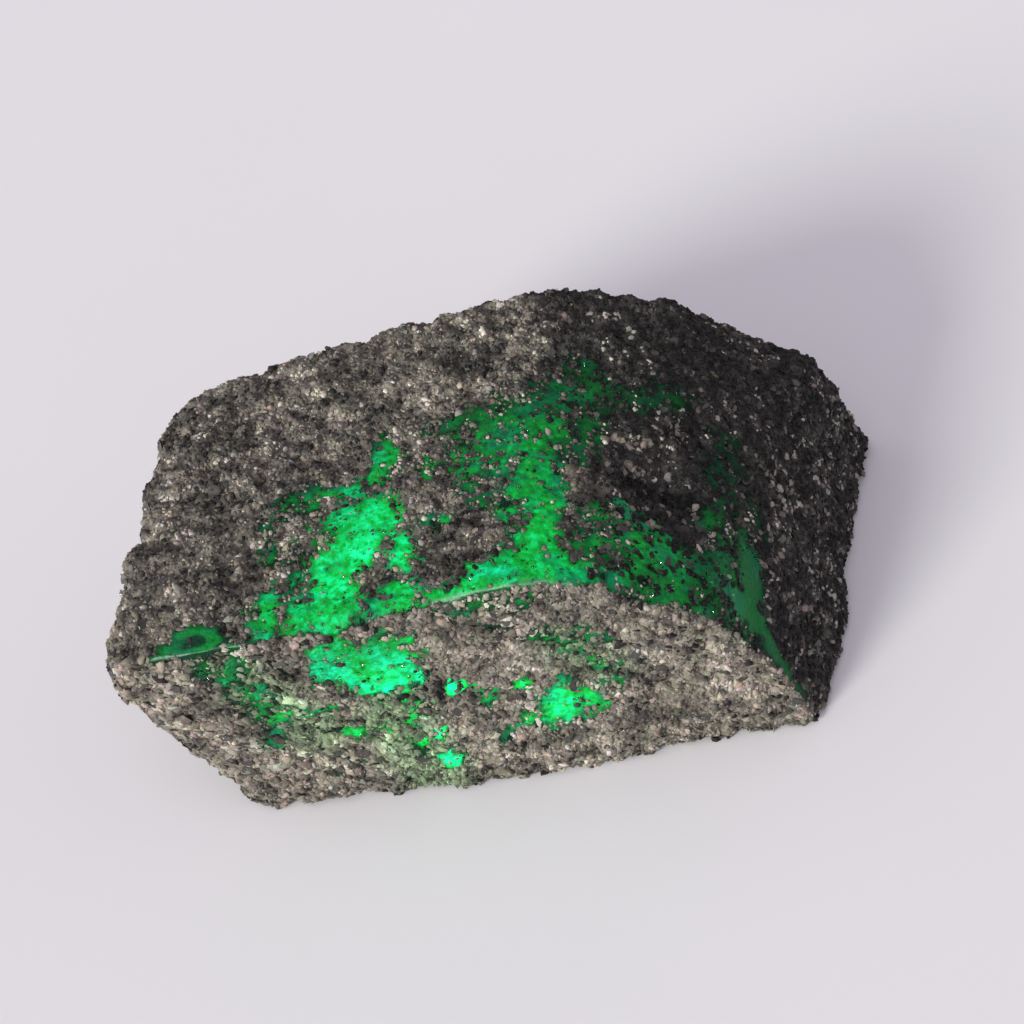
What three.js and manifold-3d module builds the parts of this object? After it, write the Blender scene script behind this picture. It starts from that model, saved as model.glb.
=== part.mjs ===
// A raw emerald crystal: one six-sided prism of beryl, broken off short and lying on its side,
// with a thin crust of its mica schist still on it.
// Millimetres, +Z up. The stone lies on its flat underside at z = 0, its length runs along X,
// and its tallest side, the one that shows the cross-section of the prism, looks along -Y.
// The origin is under the middle of the stone.
import * as THREE from "three";
import Module from "manifold-3d";
import { ImprovedNoise } from "three/addons/math/ImprovedNoise.js";
import { TessellateModifier } from "three/addons/modifiers/TessellateModifier.js";
import { mergeVertices } from "three/addons/utils/BufferGeometryUtils.js";

const wasm = await Module();
wasm.setup();

// The block that the stone is cut from, far larger than the stone on every side.
const BLOCK_SIZE = 120;

// Each face of the stone is one flat cut. "toward" is the way it looks, in degrees round Z from +X,
// and "rise" is how far it looks up, so a wall has a rise near 0 and the top has one near 90.
// "through" is a point on the face.
const FACES = [
  { name: "underside", toward: 0, rise: -90, through: [0, 0, 0] },
  { name: "top", toward: 182, rise: 85, through: [-2.6, -16.8, 18.5] },
  { name: "crest", toward: -19, rise: 76, through: [-2.6, -16.8, 18.5] },
  { name: "shoulder", toward: -22, rise: 59, through: [10.2, -17, 12.9] },
  { name: "slope", toward: -26, rise: 40, through: [14.4, -17, 8.1] },
  { name: "right wall", toward: -25, rise: 28, through: [19.8, -16.8, 0] },
  { name: "front wall, left half", toward: -93, rise: 2, through: [-21.4, -18, 0] },
  { name: "front wall, right half", toward: -89, rise: 5.5, through: [5, -18.7, 0] },
  { name: "left overhang", toward: 166, rise: -28, through: [-22.1, -17.4, 0] },
  { name: "left wall", toward: 166, rise: 0, through: [-29.5, -16, 15] },
  { name: "back left corner", toward: 138, rise: 6, through: [-23, 7, 16.5] },
  { name: "back wall", toward: 99, rise: 4, through: [5, 12, 18] },
  { name: "right back wall", toward: 84, rise: 3, through: [31.5, 10.4, 1] },
];

// Rounded knobs and worn hollows: a place on the skin, how far it reaches, and how high it stands.
const SWELLS = [
  { name: "knob at the foot of the right wall", at: [23.4, -10.4, 1.5], reach: 6, height: 0.8 },
  { name: "knob at the far right foot", at: [31.5, 8.5, 2], reach: 4, height: 0.5 },
  { name: "hollow on the shoulder", at: [9, -7, 15.5], reach: 5, height: -0.9 },
  { name: "hollow on the top", at: [-13, -1, 18], reach: 7, height: -0.4 },
  { name: "bulge of the left wall", at: [-28.5, -13, 12], reach: 7, height: 0.7 },
  { name: "foot of the front wall", at: [-1, -18.2, 0], reach: 5, height: 0.5 },
];

const LONGEST_EDGE = 2.2; // of a triangle on the finished skin
const SPLIT_ROUNDS = 14;
const WEAR_ROUNDS = 2; // rounds of smoothing that wear the edges between faces
const WEAR_STRENGTH = 0.5;
const LUMPS = { spacing: 6.5, height: 0.42 }; // the slow unevenness of the crust
const PEBBLES = { spacing: 2.6, height: 0.3 }; // its coarse grain
const ON_FLOOR = 1e-4; // a vertex lower than this belongs to the underside
const LOWEST_ABOVE_FLOOR = 0.12; // and no other vertex comes lower than this

// ---- cutting the stone out of the block ----

// A three.js geometry as a manifold-3d solid, from its positions only.
function toSolid(geometry) {
  const bare = new THREE.BufferGeometry();
  bare.setAttribute("position", geometry.getAttribute("position"));
  bare.setIndex(geometry.getIndex());
  const merged = mergeVertices(bare, 1e-4);
  return new wasm.Manifold(
    new wasm.Mesh({
      numProp: 3,
      vertProperties: merged.getAttribute("position").array,
      triVerts: new Uint32Array(merged.getIndex().array),
    }),
  );
}

// A manifold-3d solid as a three.js geometry with shared vertices.
function toGeometry(solid) {
  const mesh = solid.getMesh();
  const geometry = new THREE.BufferGeometry();
  geometry.setAttribute("position", new THREE.BufferAttribute(mesh.vertProperties, 3));
  geometry.setIndex(new THREE.BufferAttribute(mesh.triVerts, 1));
  return geometry;
}

// The way that a face looks, as a unit vector.
function outward(face) {
  const turn = THREE.MathUtils.degToRad(face.toward);
  const rise = THREE.MathUtils.degToRad(face.rise);
  const flat = Math.cos(rise);
  return new THREE.Vector3(flat * Math.cos(turn), flat * Math.sin(turn), Math.sin(rise));
}

// Everything outside a face: a box whose bottom lies on the face.
function waste(face) {
  const geometry = new THREE.BoxGeometry(2 * BLOCK_SIZE, 2 * BLOCK_SIZE, 2 * BLOCK_SIZE);
  geometry.translate(0, 0, BLOCK_SIZE);
  const turn = new THREE.Quaternion();
  turn.setFromUnitVectors(new THREE.Vector3(0, 0, 1), outward(face));
  geometry.applyQuaternion(turn);
  geometry.translate(...face.through);
  return toSolid(geometry);
}

function cutStone() {
  const block = toSolid(new THREE.BoxGeometry(BLOCK_SIZE, BLOCK_SIZE, BLOCK_SIZE));
  return FACES.reduce((stone, face) => stone.subtract(waste(face)), block);
}

// ---- working the skin ----

// The same closed surface in small triangles, with shared vertices.
function splitFine(geometry) {
  const small = new TessellateModifier(LONGEST_EDGE, SPLIT_ROUNDS).modify(geometry);
  return mergeVertices(small, 1e-4);
}

// For each vertex, the set of the vertices that share an edge with it.
function neighboursOf(geometry) {
  const index = geometry.getIndex().array;
  const count = geometry.getAttribute("position").count;
  const neighbours = Array.from({ length: count }, () => new Set());
  for (let i = 0; i < index.length; i += 3) {
    const corners = [index[i], index[i + 1], index[i + 2]];
    for (const a of corners) {
      for (const b of corners) {
        if (a !== b) neighbours[a].add(b);
      }
    }
  }
  return neighbours;
}

function isOnFloor(position, i) {
  return position.getZ(i) < ON_FLOOR;
}

// Wears the edges round: each vertex moves towards the middle of its neighbours.
// The vertices of the underside stay on the floor.
function wearEdges(geometry) {
  const position = geometry.getAttribute("position");
  const neighbours = neighboursOf(geometry);
  const here = new THREE.Vector3();
  const other = new THREE.Vector3();
  for (let round = 0; round < WEAR_ROUNDS; round += 1) {
    const worn = position.clone();
    for (let i = 0; i < position.count; i += 1) {
      const middle = new THREE.Vector3();
      for (const j of neighbours[i]) middle.add(other.fromBufferAttribute(position, j));
      middle.divideScalar(neighbours[i].size);
      here.fromBufferAttribute(position, i).lerp(middle, WEAR_STRENGTH);
      worn.setXYZ(i, here.x, here.y, isOnFloor(position, i) ? 0 : here.z);
    }
    position.copy(worn);
  }
}

// How far the knobs and hollows lift the skin at a point.
function swellAt(point) {
  let lift = 0;
  for (const swell of SWELLS) {
    const distance = point.distanceTo(new THREE.Vector3(...swell.at)) / swell.reach;
    lift += swell.height * Math.exp(-2 * distance * distance);
  }
  return lift;
}

// Roughens the skin along its normals with smooth repeatable noise, and keeps the underside flat.
function roughen(geometry) {
  geometry.computeVertexNormals();
  const noise = new ImprovedNoise();
  const position = geometry.getAttribute("position");
  const normal = geometry.getAttribute("normal");
  const point = new THREE.Vector3();
  const out = new THREE.Vector3();
  const noiseAt = ({ spacing, height }) =>
    height * noise.noise(point.x / spacing, point.y / spacing, point.z / spacing);
  for (let i = 0; i < position.count; i += 1) {
    point.fromBufferAttribute(position, i);
    out.fromBufferAttribute(normal, i);
    const lift = swellAt(point) + noiseAt(LUMPS) + noiseAt(PEBBLES);
    const floor = isOnFloor(position, i);
    point.addScaledVector(out, lift);
    position.setXYZ(i, point.x, point.y, floor ? 0 : Math.max(point.z, LOWEST_ABOVE_FLOOR));
  }
  geometry.deleteAttribute("normal");
}

// Moves the stone so that the origin is under the middle of its box.
function centre(geometry) {
  geometry.computeBoundingBox();
  const middle = geometry.boundingBox.getCenter(new THREE.Vector3());
  geometry.translate(-middle.x, -middle.y, 0);
}

function makeStone() {
  const geometry = splitFine(toGeometry(cutStone()));
  wearEdges(geometry);
  roughen(geometry);
  centre(geometry);
  geometry.computeVertexNormals();
  const schist = new THREE.MeshStandardMaterial({ color: 0x6a605a, roughness: 0.85, metalness: 0 });
  const stone = new THREE.Mesh(geometry, schist);
  stone.name = "emerald_crystal";
  return stone;
}

const part = new THREE.Group();
part.add(makeStone());

export default part;
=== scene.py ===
# %% [markdown]
# # A raw emerald crystal, with its schist crust
# This lesson dresses a stone that was built elsewhere as one plain solid. The solid already has the right
# size and place, so everything here is measured from it. We make the crystal's body, the thousands of sand
# grains that cling to it, the green patches where the crust has worn off, and then the studio round it.

import math

import bpy
import numpy as np
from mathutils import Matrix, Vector, noise


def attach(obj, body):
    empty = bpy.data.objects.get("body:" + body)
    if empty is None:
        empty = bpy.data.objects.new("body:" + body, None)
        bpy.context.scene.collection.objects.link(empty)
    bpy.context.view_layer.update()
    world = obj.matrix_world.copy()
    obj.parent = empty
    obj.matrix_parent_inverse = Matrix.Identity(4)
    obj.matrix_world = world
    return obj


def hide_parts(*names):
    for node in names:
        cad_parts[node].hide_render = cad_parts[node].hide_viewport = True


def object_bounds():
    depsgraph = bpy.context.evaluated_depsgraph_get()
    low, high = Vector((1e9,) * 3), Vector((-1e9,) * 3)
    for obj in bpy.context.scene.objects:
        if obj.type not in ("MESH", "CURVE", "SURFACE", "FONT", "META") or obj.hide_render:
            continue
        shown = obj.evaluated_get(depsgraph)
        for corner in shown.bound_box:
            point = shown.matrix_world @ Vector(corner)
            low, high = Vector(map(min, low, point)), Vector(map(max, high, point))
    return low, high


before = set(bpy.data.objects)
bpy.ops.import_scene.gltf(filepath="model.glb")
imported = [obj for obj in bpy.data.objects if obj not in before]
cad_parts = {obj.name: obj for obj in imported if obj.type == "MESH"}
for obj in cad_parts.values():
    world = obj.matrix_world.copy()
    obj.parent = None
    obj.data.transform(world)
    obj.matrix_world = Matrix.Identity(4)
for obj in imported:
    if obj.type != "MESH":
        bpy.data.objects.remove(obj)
cad_low, cad_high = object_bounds()
print("the stone is", [round(1000 * side, 1) for side in cad_high - cad_low], "mm")

# %% [markdown]
# Blender works in metres, but a stone like this is easier to think about in millimetres. Lengths below are
# written as a number times MM. One seeded random generator serves the whole script, so that every run
# scatters the grains in the same way.

# %% Units, chance and two small helpers
MM = 0.001
CHANCE = np.random.default_rng(41)
STONE = "emerald_crystal"


def pick(thing):
    """Selects one object and nothing else, and makes it the active one."""
    bpy.ops.object.select_all(action="DESELECT")
    thing.select_set(True)
    bpy.context.view_layer.objects.active = thing


def modify(thing, kind, **settings):
    """Adds a modifier with these settings and applies it."""
    pick(thing)
    modifier = thing.modifiers.new(kind.lower(), kind)
    for name, value in settings.items():
        setattr(modifier, name, value)
    bpy.ops.object.modifier_apply(modifier=modifier.name)


# %% [markdown]
# The camera looks down at the stone from the front and a little from the left, half-way up to straight
# overhead. A long lens keeps the far edge from shrinking much. It aims at a point inside the stone.

# %% Camera
CAMERA_TURN = math.radians(-11.4)
CAMERA_RISE = math.radians(45)
CAMERA_DISTANCE = 146 * MM
CAMERA_AIM = Vector((-1.1, 2.4, 8)) * MM

camera_data = bpy.data.cameras.new("camera")
camera_data.lens = 70
camera_data.clip_start = 0.01
camera = bpy.data.objects.new("camera", camera_data)
bpy.context.scene.collection.objects.link(camera)
backwards = Vector((
    math.sin(CAMERA_TURN) * math.cos(CAMERA_RISE),
    -math.cos(CAMERA_TURN) * math.cos(CAMERA_RISE),
    math.sin(CAMERA_RISE),
))
camera.location = CAMERA_AIM + CAMERA_DISTANCE * backwards
camera.rotation_euler = backwards.to_track_quat("Z", "Y").to_euler()
bpy.context.scene.camera = camera
print("the camera stands at", [round(1000 * side) for side in camera.location], "mm")

# %% [markdown]
# The crystal's body is a copy of the plain solid. Its big flat triangles are first welded together, because
# the solid comes as loose triangles. A voxel remesh then turns it into small even squares, a smoothing takes
# the facets off, and a push along the normals makes it thinner all over by the thickness of the crust, so
# that the grains laid on it later reach out about as far as the solid's own surface.

# %% The crystal's body
CRUST = 0.22 * MM
BODY_VOXEL = 0.27 * MM

body_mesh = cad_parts[STONE].data.copy()
body = bpy.data.objects.new("crystal_body", body_mesh)
bpy.context.scene.collection.objects.link(body)
body_mesh.materials.clear()
pick(body)
bpy.ops.object.mode_set(mode="EDIT")
bpy.ops.mesh.select_all(action="SELECT")
bpy.ops.mesh.remove_doubles(threshold=0.001 * MM)
bpy.ops.object.mode_set(mode="OBJECT")
modify(body, "REMESH", mode="VOXEL", voxel_size=BODY_VOXEL)
modify(body, "SMOOTH", factor=0.5, iterations=4)
modify(body, "DISPLACE", strength=-CRUST, mid_level=0)
print("the body has", len(body.data.polygons), "faces")


def points_of(mesh):
    """The places and the normals of a mesh's vertices, as two arrays."""
    places = np.empty(3 * len(mesh.vertices), np.float32)
    mesh.vertices.foreach_get("co", places)
    normals = np.empty(3 * len(mesh.vertices), np.float32)
    mesh.vertex_normals.foreach_get("vector", normals)
    return places.reshape(-1, 3).astype(float), normals.reshape(-1, 3).astype(float)


# %% [markdown]
# The crust has worn off in patches, and there the emerald shows. The patches could be painted on a texture,
# but it would need an unwrapped surface, and its edges would blur close up. Instead each is a stroke of a
# blunt scraper: it goes from one point to another, and reaches so far to each side. "clear" says how well
# light comes through there, and so how bright its green is; its values also paint part of the glow's fall-off
# away from the lamps inside. On the upper faces the points are (x, y), as seen from above, in millimetres
# from the middle of the stone's foot.

# %% The blaze, left of the middle
BLAZE = [
    # from, to, reach, clear
    ((-20.6, -13.8), (-19.8, -11.2), 0.7, 0.76),
    ((-16.4, -13.9), (-15.2, -9.3), 1.5, 0.86),
    ((-18.2, -13.6), (-17.9, -12.2), 0.5, 0.80),
    ((-14.8, -13.6), (-13.6, -14.2), 0.4, 0.74),
    ((-15.3, -10.0), (-13.0, -6.9), 1.4, 0.92),
    ((-14.0, -5.6), (-11.4, -5.2), 1.1, 0.84),
    ((-12.4, -7.2), (-12.0, -6.2), 1.0, 0.90),
    ((-10.8, -8.8), (-11.0, -10.0), 0.7, 1.00),
    ((-11.4, -12.4), (-11.0, -14.0), 0.8, 0.80),
    ((-13.2, -13.5), (-9.8, -14.4), 0.5, 0.75),
    ((-11.2, -1.9), (-10.2, 0.8), 0.7, 0.74),
    ((-13.1, -3.1), (-13.2, -2.7), 0.9, 0.66),
    ((-14.6, -2.3), (-17.6, -3.2), 0.5, 0.44),
    ((-18.9, -7.8), (-19.0, -6.4), 0.3, 0.48),
    ((-7.8, -2.1), (-7.6, -1.9), 0.3, 0.50),
    ((-6.4, 1.8), (-5.0, 2.1), 0.4, 0.46),
]
print(len(BLAZE), "strokes in the blaze and beside it")

# %% [markdown]
# The second area is a column up the middle with a cloud above it, and a streak along the ridge. It gets
# dimmer upwards, away from the light inside, and its clear values fall that way too, painting part of the
# dimming. One wide stroke would end in a plain round tip, so a dozen or so short ones make up its uneven
# outline.

# %% The column, the cloud and the ridge
COLUMN = [
    # from, to, reach, clear
    ((-5.8, -14.1), (-2.2, -12.2), 1.9, 0.76),
    ((-2.2, -12.4), (-0.7, -5.1), 1.2, 0.64),
    ((-3.2, -7.3), (-2.7, -5.7), 0.6, 0.70),
    ((-1.0, -5.1), (-0.5, -1.5), 1.6, 0.56),
    ((-1.5, -13.6), (0.6, -13.0), 0.7, 0.56),
    ((-6.8, -13.6), (-5.6, -13.0), 0.9, 0.84),
    ((-3.0, -1.9), (-2.5, 0.0), 1.6, 0.52),  # the cloud above it
    ((-4.8, -2.8), (-3.8, -1.6), 0.7, 0.56),
    ((0.4, -1.6), (1.0, -0.4), 1.5, 0.46),
    ((-0.9, 1.4), (0.3, 2.2), 1.1, 0.40),
    ((2.5, 3.1), (4.8, 3.9), 1.3, 0.38),
    ((8.4, 3.3), (11.6, 4.1), 0.7, 0.24),
    ((4.1, 5.8), (4.8, 6.2), 0.7, 0.40),
    ((-9.6, -13.9), (-3.2, -14.6), 0.5, 0.76),  # along the ridge
]
print(len(COLUMN), "strokes up the middle")

# %% [markdown]
# On the right the crust is only half gone, and the emerald there is dim and full of grains. So the strokes
# are small, and hardly clear. A few single holes lie about the rest of the top.

# %% The dim field on the right
RIGHT_FIELD = [
    # from, to, reach, clear
    ((0.8, -10.3), (2.1, -10.8), 0.5, 0.40),
    ((4.6, -10.4), (7.0, -9.5), 1.3, 0.34),
    ((4.8, -12.6), (8.4, -11.1), 1.2, 0.29),
    ((5.2, -14.0), (8.3, -13.4), 0.7, 0.28),
    ((1.0, -13.2), (3.8, -12.9), 0.3, 0.38),
    ((9.2, -11.4), (11.8, -9.8), 1.6, 0.22),
    ((4.3, -7.6), (4.6, -7.0), 0.5, 0.30),
    ((10.9, -5.8), (11.3, -5.7), 0.6, 0.28),
    ((13.9, -1.6), (14.3, 1.1), 0.8, 0.16),
    ((13.2, -4.6), (12.8, -3.4), 0.3, 0.16),
    ((2.4, -2.2), (4.8, 1.2), 0.8, 0.22),
    ((7.8, 3.6), (7.9, 3.4), 0.5, 0.34),
    ((11.4, 4.4), (11.8, 4.2), 0.6, 0.26),
    ((6.5, 2.9), (10.0, 3.0), 0.3, 0.24),
    ((12.2, -2.4), (13.0, -3.2), 0.4, 0.20),
    ((12.7, -4.0), (12.6, -4.6), 0.4, 0.18),
    ((15.4, -4.2), (15.6, -4.9), 0.4, 0.10),
    ((13.8, -6.8), (13.6, -7.6), 0.6, 0.26),
    ((11.2, -8.2), (12.0, -7.6), 0.6, 0.22),
]
SINGLE_HOLES = [
    ((-19.0, -4.3), (-19.1, -4.8), 0.2, 0.40),
    ((-7.7, -7.2), (-7.5, -7.2), 0.35, 0.50),
    ((-8.7, -7.0), (-8.6, -7.0), 0.2, 0.44),
    ((-5.5, -4.7), (-5.3, -4.6), 0.25, 0.40),
    ((-4.9, -6.1), (-4.6, -5.8), 0.3, 0.26),
    ((-3.4, 1.7), (-1.7, 2.5), 0.3, 0.40),
    ((-4.7, 2.1), (-4.4, 2.0), 0.3, 0.34),
]
TOP_STROKES = BLAZE + COLUMN + RIGHT_FIELD + SINGLE_HOLES
print(len(TOP_STROKES), "strokes on the upper faces")

# %% [markdown]
# The front wall is where the crystal broke across. Its points are (x, z), as seen from the front. Two windows
# there are as bright as the blaze on top, and the rest are small: single holes, and short streaks along the
# schist's layers. They are strokes of their own, because seen from above the wall is only a thin line.

# %% Worn patches on the front wall
FRONT_STROKES = [
    # from, to, reach, clear
    ((-15.7, 13.9), (-12.5, 12.0), 1.9, 1.00),  # the blaze carries on below the ridge
    ((-13.6, 15.2), (-12.0, 15.0), 0.6, 0.80),
    ((-8.3, 9.9), (-7.9, 9.6), 0.12, 0.86),
    ((-1.4, 7.6), (-1.3, 5.8), 1.1, 0.84),  # the pool, low in the middle
    ((-0.3, 7.1), (1.7, 6.5), 0.5, 0.80),
    ((-3.8, 9.3), (-3.7, 9.1), 0.2, 0.80),
    ((-3.8, 6.0), (-3.7, 5.7), 0.2, 0.80),
    ((-1.1, 12.3), (0.1, 11.2), 0.15, 0.70),
    ((0.7, 13.0), (1.5, 12.2), 0.1, 0.60),
    ((1.0, 10.1), (2.0, 9.7), 0.0, 0.56),
    ((-21.3, 11.8), (-20.4, 9.6), 0.7, 0.46),
    ((-18.2, 9.7), (-17.0, 9.5), 0.1, 0.60),
    ((-15.5, 7.2), (-13.3, 6.7), 0.1, 0.70),
    ((-11.5, 7.1), (-10.9, 6.8), 0.1, 0.66),
    ((-9.9, 6.3), (-9.7, 5.8), 0.10, 1.10),
    ((-9.1, 3.7), (-8.8, 3.3), 0.30, 1.30),
    ((-10.6, 8.7), (-10.5, 8.5), 0.1, 0.66),
    ((-6.4, 15.1), (-5.2, 14.7), 0.2, 0.40),
    ((-10.9, 5.1), (-10.8, 4.9), 0.15, 0.80),
    ((-13.5, 6.8), (-13.2, 6.7), 0.15, 0.76),
    ((-6.1, 8.1), (-6.0, 8.0), 0.15, 0.34),
    ((-5.1, 4.5), (-5.0, 4.4), 0.2, 0.34),
    ((-2.8, 13.6), (-2.5, 13.3), 0.1, 0.50),
    ((2.6, 7.9), (2.8, 7.8), 0.25, 0.30),
    ((-4.7, 17.1), (-3.6, 16.9), 0.2, 0.50),
    ((-8.7, 17.3), (-5.7, 17.0), 0.2, 0.50),
    ((-20.8, 9.5), (-20.1, 8.5), 0.20, 0.40),  # streaks along the layers, on the left
    ((-22.4, 15.0), (-22.7, 14.2), 0.45, 0.60),
    ((-24.6, 14.9), (-23.6, 13.4), 0.2, 0.60),
    ((-20.9, 7.1), (-20.3, 6.6), 0.3, 0.50),
    ((-15.9, 4.5), (-15.6, 4.3), 0.0, 0.50),
    ((-16.7, 3.3), (-16.4, 3.2), 0.0, 0.50),
]
print(len(FRONT_STROKES), "strokes on the front wall")

# %% [markdown]
# Three more sets of strokes work in the same way. Some small flat faces are rubbed smooth, and no grain
# clings to them. Elsewhere the crust is so thin that light from inside would tint it green, and that green
# light is painted into its colour. And in hazy places the crust has pinholes, through which the green
# glimmers between the grains.

# %% Polished places, painted green glow and hazy places
POLISHED_TOP = [
    # from, to, reach, clear
    ((-27.6, -14.3), (-22.2, -14.6), 0.40, 0.56),  # the flat triangle by the left corner
    ((-26.6, -13.6), (-22.9, -13.9), 0.55, 0.59),
    ((-25.4, -12.6), (-23.7, -12.8), 0.55, 0.59),
    ((13.8, -8.2), (13.2, -10.5), 0.80, 0.23),  # the strip down the right-hand edge
    ((12.3, -12.0), (12.9, -12.0), 1.10, 0.27),
    ((13.6, -12.8), (14.0, -13.5), 0.65, 0.28),
    ((14.3, -14.0), (15.2, -14.3), 0.45, 0.24),
    ((15.4, -14.4), (16.4, -14.5), 0.30, 0.12),
]
POLISHED_FRONT = [
    ((-27.3, 16.3), (-22.2, 16.6), 0.35, 0.10),  # the rubbed ridge under the flat triangle
    ((-8.8, 17.9), (-3.6, 18.4), 0.00, 0.46),
]
# painted light: where these strokes reach, the crust's colour is tinted green, standing for light from inside
# shining through thin crust
PAINTED_GLOW_STROKES = [
    # from, to, reach
    ((-13.0, 8.6), (-9.6, 1.4), 2.8),
    ((-21.4, 12.6), (-17.6, 7.2), 2.4),
    ((-24.2, 15.0), (-21.4, 14.2), 1.0),
    ((-1.6, 12.8), (2.4, 9.0), 1.6),
]
HAZE_TOP = [
    # from, to, reach, clear
    ((-17.8, -11.4), (-16.6, -6.0), 0.5, 0.60),
    ((-5.4, -2.8), (-4.4, 1.4), 0.9, 0.52),
    ((-1.0, 2.8), (5.6, 4.4), 1.3, 0.36),
    ((2.6, -8.4), (6.0, -8.6), 1.2, 0.36),
    ((2.6, -11.8), (10.6, -12.0), 2.2, 0.28),
]
HAZE_FRONT = [
    ((-22.2, 13.2), (-20.6, 10.4), 0.9, 0.56),
]
print(len(POLISHED_TOP) + len(POLISHED_FRONT), "polished places")

# %% [markdown]
# To find what covers a place, we measure how deep it lies inside the strokes. A stroke is a line with round
# ends, so the depth is its reach less the distance to the line. Where strokes meet, the deepest one sets the
# depth, and how clear the place is comes from all of them, weighed by depth, so that no seam shows.

# %% Measure a place against the strokes
TOP_FACES_RISE = 0.42  # a face whose normal climbs more than this counts as an upper one
FRONT_FACES_TURN = -0.5  # a steeper face whose normal has a y below this belongs to the front wall
FAR_OUT = -50 * MM
BLEND = 0.35 * MM  # neighbouring strokes melt into each other over this distance
BLEND_LIMITS = (-18, 9)  # depths beyond so many blends count as this many, so that no weight overflows
NO_WEIGHT = 1e-9  # stands for 0 where no stroke is near, because the weights divide at the end


def in_strokes(places, normals, top_strokes, front_strokes):
    """How deep each place lies inside the strokes that face it, in metres, and how clear they are there."""
    upper = normals[:, 2] > TOP_FACES_RISE
    front = ~upper & (normals[:, 1] < FRONT_FACES_TURN)
    deepest = np.full(len(places), FAR_OUT)
    weights = np.full(len(places), NO_WEIGHT)
    clearness = np.zeros(len(places))
    for strokes, plane, facing in ((top_strokes, [0, 1], upper), (front_strokes, [0, 2], front)):
        flat = places[:, plane]
        for start, end, reach, *clear in strokes:
            start = np.array(start) * MM
            along = np.array(end) * MM - start
            share = np.clip((flat - start) @ along / (along @ along), 0, 1)
            gap = np.linalg.norm(flat - start - share[:, None] * along, axis=1)
            depth = np.where(facing, reach * MM - gap, FAR_OUT)
            weight = np.exp(np.clip(depth / BLEND, *BLEND_LIMITS))
            deepest = np.maximum(depth, deepest)
            clearness += weight * (clear[0] if clear else 1.0)
            weights += weight
    return deepest, clearness / weights


def smooth_step(values, low, high):
    """0 below low, 1 above high, and an even ramp with soft ends between them."""
    share = np.clip((values - low) / (high - low), 0, 1)
    return share * share * (3 - 2 * share)


# %% [markdown]
# A scraped edge isn't a clean line. Noise of two sizes pushes the edge of each patch in and out, so that it
# has bays, spits and islands, and the body's material frays it finer still. Another noise opens the pinholes
# of the hazy places. The polished faces keep their straight edges. A patch is painted dimmer at its rim:
# painted shade where the crust still shades it.

# %% Fray the edges of the patches
RAGGED = ((0.70 * MM, 1.5 * MM), (0.80 * MM, 0.7 * MM))  # height and spacing of the bays and spits
PINHOLES = (0.80 * MM, 0.27, 1.5 * MM)  # spacing of the pinholes, how rare they are, and their depth
HALO = (-1.0 * MM, 0.6 * MM)  # between these depths a patch goes from a glimmer to its full light
GLIMMER = 0.3  # the share of its light that a patch has at its rim
PAINTED_GLOW_RAMP = (-1.0 * MM, 2.0 * MM)  # between these depths the painted green glow goes from none to full
POLISH_EDGE = 0.35 * MM  # a polish fades over this distance on each side of its edge
POLISH_BARES = (0.2 * MM, 0.3 * MM)  # a polish bares the emerald this far outside its edge, and this deep


def noise_at(points):
    """Smooth noise at each point, from -1 to 1, whose blobs are about one unit apart."""
    return np.array([noise.noise(Vector(p)) for p in points])


def ragged_noise(places):
    """Smooth noise that frays the edge of a patch, in metres."""
    total = np.zeros(len(places))
    for height, spacing in RAGGED:
        total += height * np.array([noise.noise(Vector(p) / spacing) for p in places])
    return total


places, normals = points_of(body.data)
scraped, scraped_clear = in_strokes(places, normals, TOP_STROKES, FRONT_STROKES)
hazy, hazy_clear = in_strokes(places, normals, HAZE_TOP, HAZE_FRONT)
polished, polished_clear = in_strokes(places, normals, POLISHED_TOP, POLISHED_FRONT)
painted_glow_depth, _ = in_strokes(places, normals, [], PAINTED_GLOW_STROKES)

scraped += ragged_noise(places)
spacing, rarity, deep = PINHOLES
holes = deep * (noise_at(places / spacing) - rarity)
holes = np.minimum(holes, hazy)
scraped_clear = np.where(holes > scraped, hazy_clear, scraped_clear)
scraped = np.maximum(scraped, holes)

outside, deeper = POLISH_BARES
body_polish = smooth_step(polished, -POLISH_EDGE, POLISH_EDGE)
body_depth = np.maximum(scraped, np.where(polished > -outside, polished + deeper, FAR_OUT))
# painted shade: a patch's clear value, and so its green, drops towards its rim
body_clear = scraped_clear * (GLIMMER + (1 - GLIMMER) * smooth_step(scraped, *HALO))
body_clear = body_clear * (1 - body_polish) + polished_clear * body_polish
# painted light: how strongly the painted green glow tints the crust
body_painted_glow = smooth_step(painted_glow_depth, *PAINTED_GLOW_RAMP)
print("worn clear:", round(100 * np.mean(body_depth > 0), 1), "% of the body")

# %% [markdown]
# The crust isn't the same all over. The top is grey. The slopes that fall to the right face away from the
# window, and their crust is painted darker still, with shares that lean hard towards black mica: painted
# shade on top of the real shade. The front wall is paler and warmer, partly from more pink feldspar and
# partly from painted warm light, standing for light thrown up onto it from the floor in front. Each grain
# takes its colour from a palette of six minerals, which is how a real sandy crust gets its salt and pepper.
# A few strokes mark places that are darker or paler than the rest; the darkest is painted shade in a black
# hollow on the right-hand slope.

# %% Colours of the minerals
MINERALS = np.array([
    (0.018, 0.0165, 0.0155),  # black mica
    (0.056, 0.050, 0.043),  # dark schist
    (0.114, 0.101, 0.082),  # brown schist
    (0.172, 0.160, 0.134),  # grey quartz
    (0.262, 0.217, 0.183),  # pink feldspar
    (0.350, 0.326, 0.284),  # white quartz
])
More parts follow.
